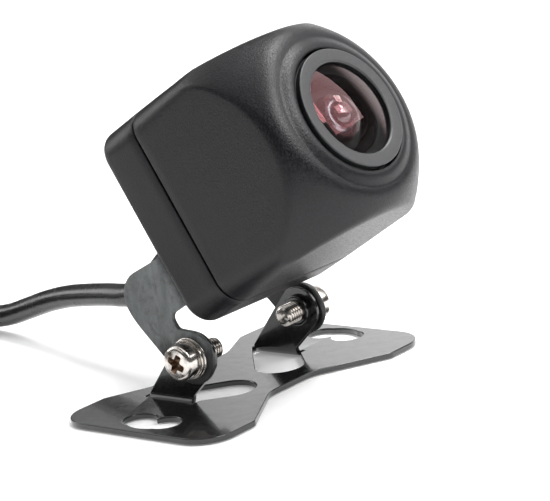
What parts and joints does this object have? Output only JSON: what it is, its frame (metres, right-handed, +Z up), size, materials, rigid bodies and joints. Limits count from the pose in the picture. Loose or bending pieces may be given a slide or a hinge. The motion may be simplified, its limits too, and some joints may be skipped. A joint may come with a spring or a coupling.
{
  "type": "backup camera",
  "caption": "Square vehicle camera with a domed collar front, on a sheet steel yoke that tilts on two screws above a winged foot, with a coiled pigtail cable.",
  "frame": {"origin": "centre of the foot's underside, on the mounting surface", "axes": "X along the tilt axis and the foot's length, the lens faces -Y and up, +Z up from the mounting surface"},
  "size_m": [0.0665, 0.1311, 0.0506],
  "materials": {
    "black_paint": "gloss black paint",
    "bracket_paint": "satin black paint, slightly stained",
    "nickel": "warm nickel plate",
    "black_screw": "black oxide",
    "case_plastic": "fine spark-eroded texture",
    "bezel": "smooth satin",
    "seal_rubber": "matt black rubber",
    "barrel": "blackened",
    "coated_glass": "anti-reflection coated",
    "filter_glass": "infrared cut coating",
    "sensor_die": "silicon under glass",
    "board": "green solder mask",
    "chip": "moulded package",
    "socket_plastic": "natural nylon",
    "wire": "coloured insulation",
    "cable_pvc": "black PVC, slight sheen",
    "plug_plastic": "moulded PVC",
    "pin_brass": "gold flashed",
    "seal_orange": "silicone"
  },
  "bodies": {
    "base": {"base_plate": "black_paint", "pivot_screws": "nickel", "flat_washers": "nickel", "spring_washers": "nickel", "cable_lead": "cable_pvc", "cable_coil": "cable_pvc", "cable_tail": "cable_pvc", "coil_tie": "plug_plastic", "connector_boot": "plug_plastic", "connector_body": "plug_plastic", "connector_seal": "seal_orange", "connector_sleeve": "plug_plastic", "connector_pins": "pin_brass"},
    "camera_head": {"yoke_bracket": "bracket_paint", "bracket_screws": "black_screw", "rear_cover": "case_plastic", "rear_gasket": "seal_rubber", "front_housing": "case_plastic", "housing_screws": "black_screw", "bezel_ring": "bezel", "front_seal": "seal_rubber", "front_lens": "coated_glass", "lens_barrel": "barrel", "aperture_stop": "barrel", "second_lens": "coated_glass", "third_lens": "coated_glass", "lens_spacer": "barrel", "rear_lens": "coated_glass", "lens_retainer": "barrel", "lens_holder": "barrel", "ir_filter": "filter_glass", "image_sensor": "sensor_die", "sensor_board": "board", "board_screws": "nickel", "board_chips": "chip", "board_socket": "socket_plastic", "inner_wires": "wire", "cable_gland": "plug_plastic", "gland_nut": "plug_plastic", "strain_relief": "cable_pvc"}
  },
  "joints": [
    {"name": "tilt", "type": "hinge", "parent": "base", "child": "camera_head", "pos_m": [0, -0.0014, 0.0074], "axis": [-1, 0, 0], "range_deg": [-45, 30], "deforming": ["cable_lead"]}
  ]
}
